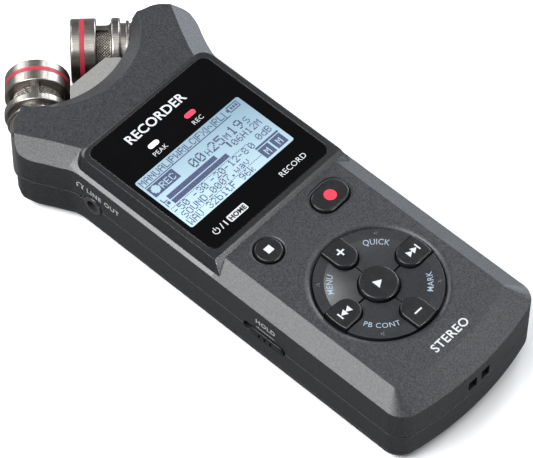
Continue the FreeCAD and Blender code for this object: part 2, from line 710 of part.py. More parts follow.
def mic_arm():
    drum = post(DRUM_R, 0, 0, SLOT_LOW_Z + SLOT_GAP - MIC_Z, SLOT_HIGH_Z - SLOT_GAP - MIC_Z)
    neck = rod(NECK_R, NECK_START, COLLAR_START + 0.05)
    rim = soften(rod(NECK_RIM_R, 6.7, 7.6), 0.25, flat_across)
    collar = soften(rod(HEAD_R, COLLAR_START, COLLAR_END), 0.5, flat_across)
    arm = fuse([drum, neck, rim, collar])
    return arm.cut([post(PIN_R + PIN_PLAY, 0, 0, -12.0, 12.0), rod(CAPSULE_R, 10.0, 14.0)])


def mic_cage(first_window):
    # Four posts with wide windows between them
    cage = tube(CAGE_R, CAGE_IN_R, CAGE_START, CAGE_END)
    windows = []
    for quarter in range(4):
        window = box(CAGE_START + 0.38, CAGE_END + 1.3, -WINDOW_HALF_W, WINDOW_HALF_W, 3.0, 9.0)
        corners = [e for e in window.Edges if e.BoundBox.ZLength > 5.0 and e.BoundBox.XMax < 13.0]
        window = window.makeFillet(0.9, corners)
        window.rotate(Vector(0, 0, 0), Vector(1, 0, 0), first_window - 90.0 + 90.0 * quarter)
        windows.append(window)
    return cage.cut(windows)


def mic_mesh():
    return tube(CAGE_IN_R - 0.2, CAGE_IN_R - 0.6, CAGE_START + 0.08, CAGE_END)


def mic_rear_ring():
    ring = soften(rod(HEAD_R, REAR_RING_START, REAR_RING_END), 0.45,
                  lambda e: flat_across(e) and e.BoundBox.XMin < REAR_RING_START + 0.1)
    return ring.cut(rod(5.8, 15.0, 20.0))


def mic_band():
    return tube(HEAD_R + 0.02, FRONT_OPENING_R, BAND_START, BAND_END)


def mic_front_ring():
    ring = soften(rod(HEAD_R, FRONT_RING_START, FRONT_RING_END), 0.6,
                  lambda e: flat_across(e) and e.BoundBox.XMin > FRONT_RING_END - 0.1)
    return ring.cut(rod(FRONT_OPENING_R, 19.0, 24.0))


def mic_grille():
    return rod(FRONT_OPENING_R - 0.1, 21.7, 22.1)


def mic_capsule():
    return fuse([rod(CAPSULE_R, 12.0, 19.5), rod(CAPSULE_R + 0.7, 19.5, 21.4)])


MIC_PARTS = {
    "mic_arm": mic_arm, "mic_mesh": mic_mesh, "mic_rear_ring": mic_rear_ring,
    "mic_band": mic_band, "mic_front_ring": mic_front_ring, "mic_grille": mic_grille,
    "mic_capsule": mic_capsule,
}


def place_mic(shape, side):
    placed = shape.copy()
    placed.rotate(Vector(0, 0, 0), Vector(0, 0, 1), 90.0 + 45.0 * side)
    placed.translate(Vector(side * PIVOT_X, PIVOT_Y, MIC_Z))
    return placed


# --------------------------------------------------------------------- export
back_solid = tapered_back()
nodes = {
    "front_cover": build_front_cover(),
    "rear_cover": build_rear_cover(back_solid),
    "battery_door": build_battery_door(back_solid),
    "mic_bridge": bridge_shape(0.0),
    "display_window": build_window(),
    "lcd_panel": box(-LCD_X, LCD_X, LCD_LOW_Y, LCD_HIGH_Y, 23.25, 24.8),
    "lcd_holder": build_lcd_holder(),
    "peak_indicator": build_light(*LIGHTS[0]),
    "record_indicator": build_light(*LIGHTS[1]),
    "home_key": round_key(HOME_R, -SMALL_KEY_X, SMALL_KEY_Y, HOME_Z, 0.5),
    "record_key": build_record_key(),
    "play_key": soften(post(PLAY_R, 0, PAD_Y, KEY_BASE_Z, PLAY_Z), 0.6, level_edges(PLAY_Z)),
    "forward_key": build_cross_key(0.0),
    "plus_key": build_cross_key(90.0),
    "rewind_key": build_cross_key(180.0),
    "minus_key": build_cross_key(270.0),
    "quick_key": build_tile(0.0),
    "menu_key": build_tile(90.0),
    "playback_key": build_tile(180.0),
    "mark_key": build_tile(270.0),
    "key_switches": build_switches(),
    "main_board": build_board(),
    "hold_switch": build_hold_knob(),
    "hold_switch_base": build_hold_base(),
    "headphone_jack": build_jack(-1),
    "mic_input_jack": build_jack(1),
    "usb_port": build_usb(),
    "card_slot": build_card_slot(),
    "memory_card": build_card(),
    "speaker": build_speaker(),
    "tripod_insert": build_tripod_insert(),
    "battery_cells": build_cells(),
    "battery_contacts": build_contacts(),
    "case_screws": build_screws(),
    "pivot_pins": build_pins(),
}
nodes["mic_cage_left"] = place_mic(mic_cage(LEFT_WINDOW_TURN), -1)
nodes["mic_cage_right"] = place_mic(mic_cage(RIGHT_WINDOW_TURN), 1)
for name, make in MIC_PARTS.items():
    shape = make()
    nodes[name + "_left"] = place_mic(shape, -1)
    nodes[name + "_right"] = place_mic(shape, 1)

for name, shape in nodes.items():
    bounds = shape.BoundBox
    print("%-20s valid=%s solids=%d vol=%.0f  x %.1f..%.1f  y %.1f..%.1f  z %.1f..%.1f" % (
        name, shape.isValid(), len(shape.Solids), shape.Volume, bounds.XMin, bounds.XMax,
        bounds.YMin, bounds.YMax, bounds.ZMin, bounds.ZMax))
    shape.exportStep("parts/" + name + ".step")
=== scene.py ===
import json
import math

import bmesh
import bpy
from mathutils import Matrix, Vector


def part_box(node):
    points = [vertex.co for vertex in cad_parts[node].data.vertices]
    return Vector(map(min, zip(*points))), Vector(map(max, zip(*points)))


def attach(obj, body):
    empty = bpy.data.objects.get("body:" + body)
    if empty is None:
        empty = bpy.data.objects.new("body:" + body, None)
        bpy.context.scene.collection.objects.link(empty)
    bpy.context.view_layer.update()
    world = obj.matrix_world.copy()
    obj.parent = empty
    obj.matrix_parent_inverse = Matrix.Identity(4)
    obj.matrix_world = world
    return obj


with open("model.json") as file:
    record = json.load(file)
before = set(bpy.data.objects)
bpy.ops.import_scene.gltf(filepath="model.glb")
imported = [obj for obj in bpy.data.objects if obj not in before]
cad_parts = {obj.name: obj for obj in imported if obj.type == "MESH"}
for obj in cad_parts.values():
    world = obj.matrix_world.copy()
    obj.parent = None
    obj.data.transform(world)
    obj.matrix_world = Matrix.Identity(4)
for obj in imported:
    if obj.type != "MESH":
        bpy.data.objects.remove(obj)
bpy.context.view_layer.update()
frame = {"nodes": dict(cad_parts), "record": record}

MM = 0.001
NODES = frame["nodes"]

# ------------------------------------------------------------------ camera
AIM = Vector((-0.68, -6.21, 12.0)) * MM
CAMERA_DISTANCE = 887.6 * MM
CAMERA_AZIMUTH = math.radians(-47.93)
CAMERA_ELEVATION = math.radians(54.73)
CAMERA_ROLL = math.radians(0.75)
CAMERA_LENS = 227.6
SENSOR_WIDTH = 36.0
CLIP_NEAR = 0.01
CLIP_FAR = 20.0


def direction(azimuth, elevation):
    """Unit vector towards a place seen at that azimuth (0 is -Y) and elevation."""
    flat = math.cos(elevation)
    return Vector((math.sin(azimuth) * flat, -math.cos(azimuth) * flat, math.sin(elevation)))


def add_camera():
    data = bpy.data.cameras.new("camera")
    data.lens = CAMERA_LENS
    data.sensor_width = SENSOR_WIDTH
    data.clip_start = CLIP_NEAR
    data.clip_end = CLIP_FAR
    camera = bpy.data.objects.new("camera", data)
    bpy.context.scene.collection.objects.link(camera)
    back = direction(CAMERA_AZIMUTH, CAMERA_ELEVATION)
    turn = (-back).to_track_quat("-Z", "Y") @ Matrix.Rotation(CAMERA_ROLL, 3, "Z").to_quaternion()
    camera.matrix_world = Matrix.Translation(AIM + back * CAMERA_DISTANCE) @ turn.to_matrix().to_4x4()
    bpy.context.scene.camera = camera


# ------------------------------------------------------------------ light and floor
WHITE = (1.0, 1.0, 1.0)
BLUISH = (0.88, 0.93, 1.0)
LIGHT_TARGET = Vector((0, 0, 10.0)) * MM

# Name, azimuth and elevation in degrees, distance, width and height in metres, power in watts, colour
LIGHTS = (
    ("key_left", -122, 50, 1.2, 0.75, 0.5, 17.0, WHITE),
    ("horn_left", -84, 60, 1.2, 0.4, 0.4, 5.0, WHITE),
    ("overhead", 150, 84, 1.3, 0.8, 0.6, 2.6, WHITE),
    ("right_wall", 101, 19, 1.4, 1.0, 0.75, 15.0, BLUISH),
    ("back_wall", 176, 22, 1.5, 0.9, 0.7, 9.5, WHITE),
    ("front_right", 52, 54, 1.4, 0.6, 0.5, 5.0, WHITE),
    ("bottom_wall", 8, 10, 1.2, 0.6, 0.2, 11.0, WHITE),
    ("pad_side", 106, 49, 1.4, 0.22, 0.22, 2.2, WHITE),
)
SKY_COLOR = (0.95, 0.97, 1.0, 1)
SKY_STRENGTH = 0.09
VIEW_GAMMA = 0.85


def soft_light(name, azimuth, elevation, distance, width, height, power, color):
    data = bpy.data.lights.new(name, "AREA")
    data.shape = "RECTANGLE"
    data.size = width
    data.size_y = height
    data.energy = power
    data.color = color
    light = bpy.data.objects.new(name, data)
    bpy.context.scene.collection.objects.link(light)
    towards = direction(math.radians(azimuth), math.radians(elevation))
    place = LIGHT_TARGET + towards * distance
    light.matrix_world = Matrix.Translation(place) @ (-towards).to_track_quat("-Z", "Y").to_matrix().to_4x4()


def add_lights():
    for row in LIGHTS:
        soft_light(*row)
    world = bpy.data.worlds.new("studio")
    bpy.context.scene.world = world
    world.use_nodes = True
    sky = world.node_tree.nodes["Background"]
    sky.inputs["Color"].default_value = SKY_COLOR
    sky.inputs["Strength"].default_value = SKY_STRENGTH
    view = bpy.context.scene.view_settings
    view.view_transform = "Standard"
    view.look = "None"
    view.gamma = VIEW_GAMMA


# ------------------------------------------------------------------ materials
TONE_LOW = 0.3
TONE_HIGH = 0.7
EDGE_SAMPLES = 6
# Dark tone of the case on the display block and beside it, painted shade on the chamfer strip beside the
# block
BLOCK_TONE_AND_SHADE = (0.36, 0.42)
BLOCK_ROUGH = 0.27
METAL_EDGE_MM = 0.12
GLOW_ACROSS = 0.42
GLOW_ALONG = 0.58
GLOW_LIGHT = (0.36, 0.46, 0.51, 1)
GLOW_DARK = (0.16, 0.23, 0.28, 1)
GLOW_STRENGTH = 0.22


class Shader:
    """A Principled material with the few node chains that this scene repeats."""

    def __init__(self, name, color, rough, metallic=0.0, specular=0.5, coat=0.0):
        self.material = bpy.data.materials.new(name)
        self.material.use_nodes = True
        self.material.diffuse_color = (*color, 1)
        self.tree = self.material.node_tree
        self.bsdf = self.tree.nodes["Principled BSDF"]
        self.bsdf.inputs["Base Color"].default_value = (*color, 1)
        self.bsdf.inputs["Roughness"].default_value = rough
        self.bsdf.inputs["Metallic"].default_value = metallic
        self.bsdf.inputs["Specular IOR Level"].default_value = specular
        self.bsdf.inputs["Coat Weight"].default_value = coat
        self.color = color
        self.coords = self.node("ShaderNodeTexCoord").outputs["Object"]

    def node(self, kind, **settings):
        made = self.tree.nodes.new(kind)
        for key, value in settings.items():
            if key in made.inputs:
                made.inputs[key].default_value = value
            else:
                setattr(made, key, value)
        return made

    def link(self, a, b):
        self.tree.links.new(a, b)

    def noise(self, size_mm, detail=2.0, rough=0.5, stretch=None, turn_deg=0.0):
        """Noise whose grains are about size_mm across, drawn out along an axis when stretched."""
        texture = self.node("ShaderNodeTexNoise", Scale=1000.0 / size_mm, Detail=detail, Roughness=rough)
        source = self.coords
        if stretch:
            turned = self.node("ShaderNodeMapping")
            turned.inputs["Rotation"].default_value = (0, 0, math.radians(-turn_deg))
            self.link(source, turned.inputs["Vector"])
            mapping = self.node("ShaderNodeMapping")
            mapping.inputs["Scale"].default_value = stretch
            self.link(turned.outputs["Vector"], mapping.inputs["Vector"])
            source = mapping.outputs["Vector"]
        self.link(source, texture.inputs["Vector"])
        return texture.outputs["Fac"]

    def spread(self, value, low, high, to_low, to_high):
        remap = self.node("ShaderNodeMapRange")
        for key, number in (("From Min", low), ("From Max", high), ("To Min", to_low), ("To Max", to_high)):
            remap.inputs[key].default_value = number
        self.link(value, remap.inputs["Value"])
        return remap.outputs["Result"]

    def tint(self, value, dark, light):
        """Base colour runs between two tones of the material's colour as value goes from low to high."""
        ramp = self.node("ShaderNodeValToRGB")
        ramp.color_ramp.elements[0].position = TONE_LOW
        ramp.color_ramp.elements[1].position = TONE_HIGH
        ramp.color_ramp.elements[0].color = (*[c * dark for c in self.color], 1)
        ramp.color_ramp.elements[1].color = (*[min(1.0, c * light) for c in self.color], 1)
        self.link(value, ramp.inputs["Fac"])
        self.link(ramp.outputs["Color"], self.bsdf.inputs["Base Color"])
        return ramp.outputs["Color"]

    def roughen(self, value, low, high):
        self.link(self.spread(value, TONE_LOW, TONE_HIGH, low, high), self.bsdf.inputs["Roughness"])

    def bump(self, height, strength, depth_mm, edge_mm=0.0):
        """Surface relief, over edges that are rounded by edge_mm."""
        bump = self.node("ShaderNodeBump", Strength=strength, Distance=depth_mm * MM)
        self.link(height, bump.inputs["Height"])
        if edge_mm:
            bevel = self.node("ShaderNodeBevel", samples=EDGE_SAMPLES)
            bevel.inputs["Radius"].default_value = edge_mm * MM
            self.link(bevel.outputs["Normal"], bump.inputs["Normal"])
        self.link(bump.outputs["Normal"], self.bsdf.inputs["Normal"])


def grained_plastic(name, color, rough, grain_mm=0.45, depth=0.02, contrast=0.16, edge_mm=0.25):
    shader = Shader(name, color, rough)
    grain = shader.noise(grain_mm, detail=3.0, rough=0.6)
    shader.tint(grain, 1.0 - contrast, 1.0 + contrast)
    shader.roughen(shader.noise(3.0, detail=2.0), rough - 0.03, rough + 0.03)
    shader.bump(grain, 0.5, depth, edge_mm)
    return shader.material


def case_plastic(color, rough, grain_mm, depth, contrast, edge_mm):
    """Grained moulding that is smooth and darker on the raised display block, and painted darker just beside
    it as painted shade on the chamfer strip.
    """
    shader = Shader("case_grain", color, rough)
    place = shader.node("ShaderNodeSeparateXYZ")
    shader.link(shader.coords, place.inputs["Vector"])
    inside = None
    for axis, middle, half in (("X", 0.0, BLOCK_HALF_X), ("Y", BLOCK_MID_Y, BLOCK_HALF_Y)):
        near = shader.node("ShaderNodeMath", operation="COMPARE")
        near.inputs[1].default_value = middle * MM
        near.inputs[2].default_value = half * MM
        shader.link(place.outputs[axis], near.inputs[0])
        if inside is None:
            inside = near.outputs["Value"]
        else:
            both = shader.node("ShaderNodeMath", operation="MULTIPLY")
            shader.link(inside, both.inputs[0])
            shader.link(near.outputs["Value"], both.inputs[1])
            inside = both.outputs["Value"]
    grain = shader.noise(grain_mm, detail=3.0, rough=0.6)
    # Flat dark tone on the block and the strip beside it: painted shade on the strip
    fine = shader.spread(shader.noise(0.9, detail=2.0), TONE_LOW, TONE_HIGH, *BLOCK_TONE_AND_SHADE)
    mixed = shader.node("ShaderNodeMix", data_type="FLOAT")
    shader.link(inside, mixed.inputs[0])
    shader.link(grain, mixed.inputs[2])
    shader.link(fine, mixed.inputs[3])
    shader.tint(mixed.outputs[0], 1.0 - contrast, 1.0 + contrast)
    shader.link(shader.spread(inside, 0.0, 1.0, rough, BLOCK_ROUGH), shader.bsdf.inputs["Roughness"])
    shader.bump(mixed.outputs[0], 0.5, depth, edge_mm)
    return shader.material


def satin_metal(name, color, rough, depth=0.006, brush_deg=None):
    """Satin metal; brush_deg is the direction of its fine lines about the vertical."""
    shader = Shader(name, color, rough, metallic=1.0)
    broad = shader.noise(2.5, detail=3.0)
    if brush_deg is None:
        fine = shader.noise(0.12, detail=2.0)
        shader.tint(broad, 0.93, 1.05)
    else:
        fine = shader.noise(0.22, detail=3.0, stretch=(0.06, 1.0, 1.0), turn_deg=brush_deg)
        shader.tint(fine, 0.70, 1.20)
    shader.roughen(broad, rough - 0.03, rough + 0.04)
    shader.bump(fine, 0.35, depth, METAL_EDGE_MM)
    return shader.material


def gloss(name, color, rough, coat=0.0):
    shader = Shader(name, color, rough, coat=coat)
    smear = shader.noise(6.0, detail=3.0)
    shader.tint(smear, 0.9, 1.1)
    shader.roughen(smear, rough, rough + 0.04)
    shader.bump(shader.noise(9.0), 0.05, 0.01, 0.15)
    return shader.material


def ink(name, color, rough=0.5):
    shader = Shader(name, color, rough)
    grain = shader.noise(0.2, detail=2.0)
    shader.tint(grain, 0.92, 1.04)
    shader.bump(grain, 0.2, 0.004)
    return shader.material


def display_glow():
    shader = Shader("display_glow", (0.50, 0.73, 0.80), 0.22, coat=0.3)
    place = shader.node("ShaderNodeSeparateXYZ")
    shader.link(shader.coords, place.inputs["Vector"])
    low, high = LCD_BOX
    across = shader.spread(place.outputs["X"], low.x, high.x, 0.0, GLOW_ACROSS)
    along = shader.spread(place.outputs["Y"], low.y, high.y, 0.0, GLOW_ALONG)
    total = shader.node("ShaderNodeMath", operation="ADD")
    shader.link(across, total.inputs[0])
    shader.link(along, total.inputs[1])
    ramp = shader.node("ShaderNodeValToRGB")
    ramp.color_ramp.elements[0].color = GLOW_LIGHT
    ramp.color_ramp.elements[1].color = GLOW_DARK
    shader.link(total.outputs["Value"], ramp.inputs["Fac"])
    shader.link(ramp.outputs["Color"], shader.bsdf.inputs["Base Color"])
    shader.link(ramp.outputs["Color"], shader.bsdf.inputs["Emission Color"])
    shader.bsdf.inputs["Emission Strength"].default_value = GLOW_STRENGTH
    shader.bump(shader.noise(0.3), 0.05, 0.002)
    return shader.material


def lit_lens(name, color, strength):
    shader = Shader(name, color, 0.3, coat=0.5)
    haze = shader.noise(1.0, detail=2.0)
    tone = shader.tint(haze, 0.94, 1.06)
    shader.link(tone, shader.bsdf.inputs["Emission Color"])
    shader.bsdf.inputs["Emission Strength"].default_value = strength
    shader.bump(haze, 0.1, 0.01, 0.1)
    return shader.material


# The window is opaque, so the picture of the display lies on its front. It is moved sideways to where the
# recessed panel would show to the camera.
DISPLAY_SHIFT = (-1.3, -0.55)
LCD_BOX = (Vector((-19.65, 2.0, 0)) * MM, Vector((19.65, 22.7, 0)) * MM)

# Footprint of the raised display block with the strip of chamfer beside it, both painted darker by the case
# material, painted shade on the strip
BLOCK_HALF_X = 26.4
BLOCK_MID_Y = 15.1
BLOCK_HALF_Y = 25.7

NICKEL = (0.36, 0.34, 0.32)

# Way each microphone points at rest, in degrees about the vertical
MIC_TURN = {"left": 45.0, "right": 135.0}

LOOKS = {
    "case": case_plastic((0.0367, 0.0381, 0.0414), 0.38, 0.45, 0.10, 0.62, 0.32),
    "bridge": grained_plastic("bridge_grain", (0.215, 0.213, 0.205), 0.45, contrast=0.14),
    "window": gloss("window_gloss", (0.004, 0.004, 0.0045), 0.05),
    "key": grained_plastic("key_satin", (0.018, 0.0185, 0.020), 0.26, 0.35, 0.010, 0.2, edge_mm=0.2),
    "tile": grained_plastic("tile_satin", (0.036, 0.038, 0.041), 0.22, 0.35, 0.010, 0.25, edge_mm=0.15),
    "mic_left": satin_metal("mic_nickel_left", NICKEL, 0.34, 0.010, brush_deg=MIC_TURN["left"]),
    "mic_right": satin_metal("mic_nickel_right", NICKEL, 0.34, 0.010, brush_deg=MIC_TURN["right"]),
    "mesh": satin_metal("mesh_wire", (0.46, 0.43, 0.39), 0.45),
    # Steel mesh of the frame painted near black: painted shade behind the woven wires
    "mesh_painted_shade": satin_metal("mesh_shadow", (0.07, 0.065, 0.06), 0.6),
    "band": grained_plastic("band_red", (0.36, 0.038, 0.06), 0.38, 0.25, 0.005, 0.06, edge_mm=0.05),
    "capsule": grained_plastic("capsule_felt", (0.02, 0.02, 0.02), 0.9, 0.4, 0.05, 0.3),
    "steel": satin_metal("plated_steel", (0.56, 0.56, 0.55), 0.28),
    "screw": satin_metal("black_screw", (0.07, 0.07, 0.072), 0.38),
    "jack": gloss("jack_gloss", (0.05, 0.05, 0.053), 0.16, coat=0.5),
    "brass": satin_metal("insert_brass", (0.72, 0.54, 0.26), 0.3),
    "board": grained_plastic("board_mask", (0.02, 0.13, 0.06), 0.35, 0.8, 0.01, 0.15),
    "cell": grained_plastic("cell_wrap", (0.08, 0.12, 0.25), 0.3, 1.0, 0.004, 0.08),
    "white_part": grained_plastic("white_part", (0.72, 0.72, 0.70), 0.45, 0.6, 0.01, 0.05),
    "display": display_glow(),
    "ink_white": ink("ink_white", (0.46, 0.475, 0.49)),
    "ink_blue": ink("ink_blue", (0.26, 0.31, 0.38)),
    "ink_dot": ink("ink_dot", (0.045, 0.058, 0.12), 0.7),
    "ink_black": ink("ink_black", (0.012, 0.012, 0.013)),
    "ink_red": ink("ink_red", (0.72, 0.035, 0.07)),
    "lens_red": lit_lens("lens_red", (0.80, 0.055, 0.10), 0.55),
    "lens_white": lit_lens("lens_white", (0.72, 0.72, 0.70), 0.25),
}

SLOT_LOOKS = {
    "case_plastic": "case", "bridge_plastic": "bridge", "window_black": "window", "lcd_blue": "display",
    "white_plastic": "white_part", "light_clear": "lens_white", "light_red": "lens_red",
    "key_plastic": "key", "tile_plastic": "tile", "steel": "steel", "screw_steel": "screw",
    "board_green": "board", "jack_black": "jack", "card_plastic": "key", "brass": "brass",
    "cell_wrap": "cell", "mic_metal": "mic", "mesh_steel": "mesh_painted_shade", "band_red": "band",
    "capsule_black": "capsule",
}


def dress_nodes():
    slots = {row["node"]: row["material_slot"] for row in frame["record"]["subparts"]}
    for name, node in NODES.items():
        look_name = SLOT_LOOKS[slots[name]]
        if look_name == "mic":
            look_name = "mic_right" if name.endswith("_right") else "mic_left"
        look = LOOKS[look_name]
        for index in range(len(node.material_slots)):
            node.material_slots[index].material = look


# ------------------------------------------------------------------ new pieces
def piece(name, mesh, look, body):
    mesh.name = name
    mesh.materials.clear()
    mesh.materials.append(LOOKS[look])
    made = bpy.data.objects.new(name, mesh)
    bpy.context.scene.collection.objects.link(made)
    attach(made, body)


def from_bmesh(bm):
    bmesh.ops.recalc_face_normals(bm, faces=bm.faces)
    mesh = bpy.data.meshes.new("piece")
    bm.to_mesh(mesh)
    bm.free()
    return mesh


PRINT_T = 0.03 * MM
DISC_SIDES = 40
CORNER_STEPS = 8
FONT_SIZE_PER_CAPITAL = 1.37


def plate(bm, outline, z=0.0, thick=PRINT_T):
    """Closed flat plate with that outline, standing on height z."""
    low = [bm.verts.new((x, y, z)) for x, y in outline]
    high = [bm.verts.new((x, y, z + thick)) for x, y in outline]
    bm.faces.new(list(reversed(low)))
    bm.faces.new(high)
    count = len(outline)
    for i in range(count):
        j = (i + 1) % count
        bm.faces.new((low[i], low[j], high[j], high[i]))


def bar(x0, x1, y0, y1):
    return [(x0, y0), (x1, y0), (x1, y1), (x0, y1)]


def disc(x, y, r):
    turns = [2 * math.pi * i / DISC_SIDES for i in range(DISC_SIDES)]
    return [(x + r * math.cos(a), y + r * math.sin(a)) for a in turns]


def round_bar(x0, x1, y0, y1, r):
    outline = []
    corners = ((x1 - r, y0 + r, -90), (x1 - r, y1 - r, 0), (x0 + r, y1 - r, 90), (x0 + r, y0 + r, 180))
    for cx, cy, start in corners:
        for i in range(CORNER_STEPS + 1):
            a = math.radians(start + 90.0 * i / CORNER_STEPS)
            outline.append((cx + r * math.cos(a), cy + r * math.sin(a)))
    return outline


def plates(outlines):
    bm = bmesh.new()
    for outline in outlines:
        plate(bm, [(x * MM, y * MM) for x, y in outline])
    return from_bmesh(bm)


def arc_plates(bm, inner, outer, start_deg, sweep_deg, steps):
    """Row of flat plates along an arc between two radii."""
    for i in range(steps):
        a0 = math.radians(start_deg + sweep_deg * i / steps)
        a1 = math.radians(start_deg + sweep_deg * (i + 1) / steps)
        corners = ((inner, a0), (outer, a0), (outer, a1), (inner, a1))
        plate(bm, [(r * math.cos(a) * MM, r * math.sin(a) * MM) for r, a in corners])


def letters(text, height_mm, weight=0.0, spacing=1.0, width=1.0):
    """Mesh of a word, centred on the origin, capitals height_mm tall."""
    curve = bpy.data.curves.new("word", "FONT")
    curve.body = text
    curve.align_x = "CENTER"
    curve.size = height_mm * MM * FONT_SIZE_PER_CAPITAL
    curve.offset = weight * MM
    curve.space_character = spacing
    curve.extrude = 0.5 * PRINT_T
    curve.resolution_u = 3
    holder = bpy.data.objects.new("word", curve)
    bpy.context.scene.collection.objects.link(holder)
    bpy.context.view_layer.update()
    mesh = bpy.data.meshes.new_from_object(holder)
    bpy.data.objects.remove(holder)
    tall = height_mm * MM
    for vertex in mesh.vertices:
        vertex.co.x *= width
        vertex.co.y -= 0.5 * tall
        vertex.co.z += 0.5 * PRINT_T
    return mesh


def placed(mesh, x, y, z, tilt=None):
    matrix = Matrix.Translation(Vector((x, y, z)) * MM)
    if tilt is not None:
        matrix = matrix @ tilt
    mesh.transform(matrix)
    return mesh


# Top of each node and the middle of the pad, read from the frame
TOP = {name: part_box(name)[1].z / MM for name in NODES}
PAD = Vector((0.0, (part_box("play_key")[0].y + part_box("play_key")[1].y) / 2 / MM))

# Dish that the tops of the tiles form, which its words follow
TILE_TOP = 24.4
DISH_R = 14.2
DISH_DEPTH = 1.0

# How far print stands off the surface below it
LIFT = 0.01


# Text, key, angle of its middle, radius, whether its tops point outwards, width
PAD_WORDS = (
    ("QUICK", "quick_key", 45.0, 13.1, True, 0.94),
    ("MENU", "menu_key", 135.0, 12.8, True, 0.95),
    ("PB CONT", "playback_key", 225.0, 12.9, False, 0.92),
    ("MARK", "mark_key", 315.0, 13.2, False, 0.95),
)
PAD_WORD_H = 1.7


def dish_height(r):
    return TILE_TOP - DISH_DEPTH * (1.0 - (r / DISH_R) ** 2)


def add_pad_words():
    """Words on the four tiles, bent round the pad and laid on its dish."""
    for text, key, middle, radius, tops_out, width in PAD_WORDS:
        mesh = letters(text, PAD_WORD_H, weight=0.01, spacing=1.06, width=width)
        for vertex in mesh.vertices:
            x, y, z = vertex.co / MM
            r = radius + y if tops_out else radius - y
            sweep = math.degrees(x / radius)
            angle = math.radians(middle - sweep if tops_out else middle + sweep)
            vertex.co = Vector((PAD.x + r * math.cos(angle), PAD.y + r * math.sin(angle),
                                dish_height(r) + LIFT + z)) * MM
        piece("word_" + key, mesh, "ink_blue", key)


KEY_MARK_RADIUS = 13.3
ARROW = 1.75


def triangle(x, y, size, turn_deg):
    points = []
    for px, py in ((-0.5, -0.58), (0.5, 0.0), (-0.5, 0.58)):
        a = math.radians(turn_deg)
        points.append((x + size * (px * math.cos(a) - py * math.sin(a)),
                       y + size * (px * math.sin(a) + py * math.cos(a))))
    return points


def add_key_marks():
    """Transport marks on the keys."""
    marks = {
        "play_key": [triangle(-0.1, 0.0, 2.35, 0.0)],
        "plus_key": [bar(-1.25, 1.25, -0.26, 0.26), bar(-0.26, 0.26, 0.26, 1.25),
                     bar(-0.26, 0.26, -1.25, -0.26)],
        "minus_key": [bar(-1.3, 1.3, -0.25, 0.25)],
        "forward_key": [triangle(-1.3, 0, ARROW, 0), triangle(0.35, 0, ARROW, 0),
                        bar(1.3, 1.75, -1.05, 1.05)],
        "rewind_key": [triangle(1.3, 0, ARROW, 180), triangle(-0.35, 0, ARROW, 180),
                       bar(-1.75, -1.3, -1.05, 1.05)],
    }
    at = {"play_key": (0, 0), "plus_key": (0, KEY_MARK_RADIUS), "minus_key": (0, -KEY_MARK_RADIUS),
          "forward_key": (KEY_MARK_RADIUS, 0), "rewind_key": (-KEY_MARK_RADIUS, 0)}
    for key, outlines in marks.items():
        mesh = plates(outlines)
        dx, dy = at[key]
        placed(mesh, PAD.x + dx, PAD.y + dy, TOP[key] + LIFT)
        piece("mark_" + key, mesh, "ink_white", key)
    home = centre_of("home_key")
    square = placed(plates([bar(-1.05, 1.05, -1.05, 1.05)]), home.x, home.y, TOP["home_key"] + LIFT)
    piece("mark_home_key", square, "ink_white", "home_key")
    record = centre_of("record_key")
    dot = placed(plates([disc(0, 0, 1.75)]), record.x, record.y, TOP["record_key"] + LIFT)
    piece("mark_record_key", dot, "ink_red", "record_key")


def centre_of(node):
    low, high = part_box(node)
    return (low + high) / 2 / MM


# Name, text, height of its capitals, middle x and y, added weight, letter spacing
WINDOW_WORDS = (
    ("word_maker", "RECORDER", 3.0, -1.9, 33.0, 0.09, 1.04),
    ("word_peak", "PEAK", 1.5, -8.4, 24.8, 0.0, 1.06),
    ("word_rec", "REC", 1.5, 5.6, 24.5, 0.0, 1.06),
    ("word_record", "RECORD", 1.75, 11.8, -3.8, 0.01, 1.05),
    ("word_power", "/ I", 1.9, -14.5, -3.7, 0.06, 1.0),
)
HOME_TAG_X = -9.3
HOME_TAG_Y = -3.75


def window_word(name, text, height, x, y, weight, spacing, look="ink_white", lift=LIFT):
    mesh = letters(text, height, weight, spacing)
    placed(mesh, x, y, TOP["display_window"] + lift)
    piece(name, mesh, look, "housing")


def add_window_print():
    glass = TOP["display_window"]
    for row in WINDOW_WORDS:
        window_word(*row)
    # Power ring with its stroke
    bm = bmesh.new()
    arc_plates(bm, 0.78, 1.06, 125, 290.0, 22)
    plate(bm, [(x * MM, y * MM) for x, y in bar(-0.15, 0.15, 0.15, 1.25)])
    ring_mesh = placed(from_bmesh(bm), -17.3, -3.8, glass + LIFT)
    piece("mark_power", ring_mesh, "ink_white", "housing")
    tag = placed(plates([round_bar(-3.3, 3.3, -1.15, 1.15, 0.45)]), HOME_TAG_X, HOME_TAG_Y, glass + LIFT)
    piece("tag_home", tag, "ink_white", "housing")
    window_word("word_home", "HOME", 1.45, HOME_TAG_X, HOME_TAG_Y, 0.07, 1.05, "ink_black", LIFT + 0.04)


FACE_Z = 24.6


def add_face_print():
    mesh = placed(letters("STEREO", 2.6, 0.055, 1.08), 0.3, -68.3, FACE_Z + LIFT)
    piece("word_stereo", mesh, "ink_white", "housing")


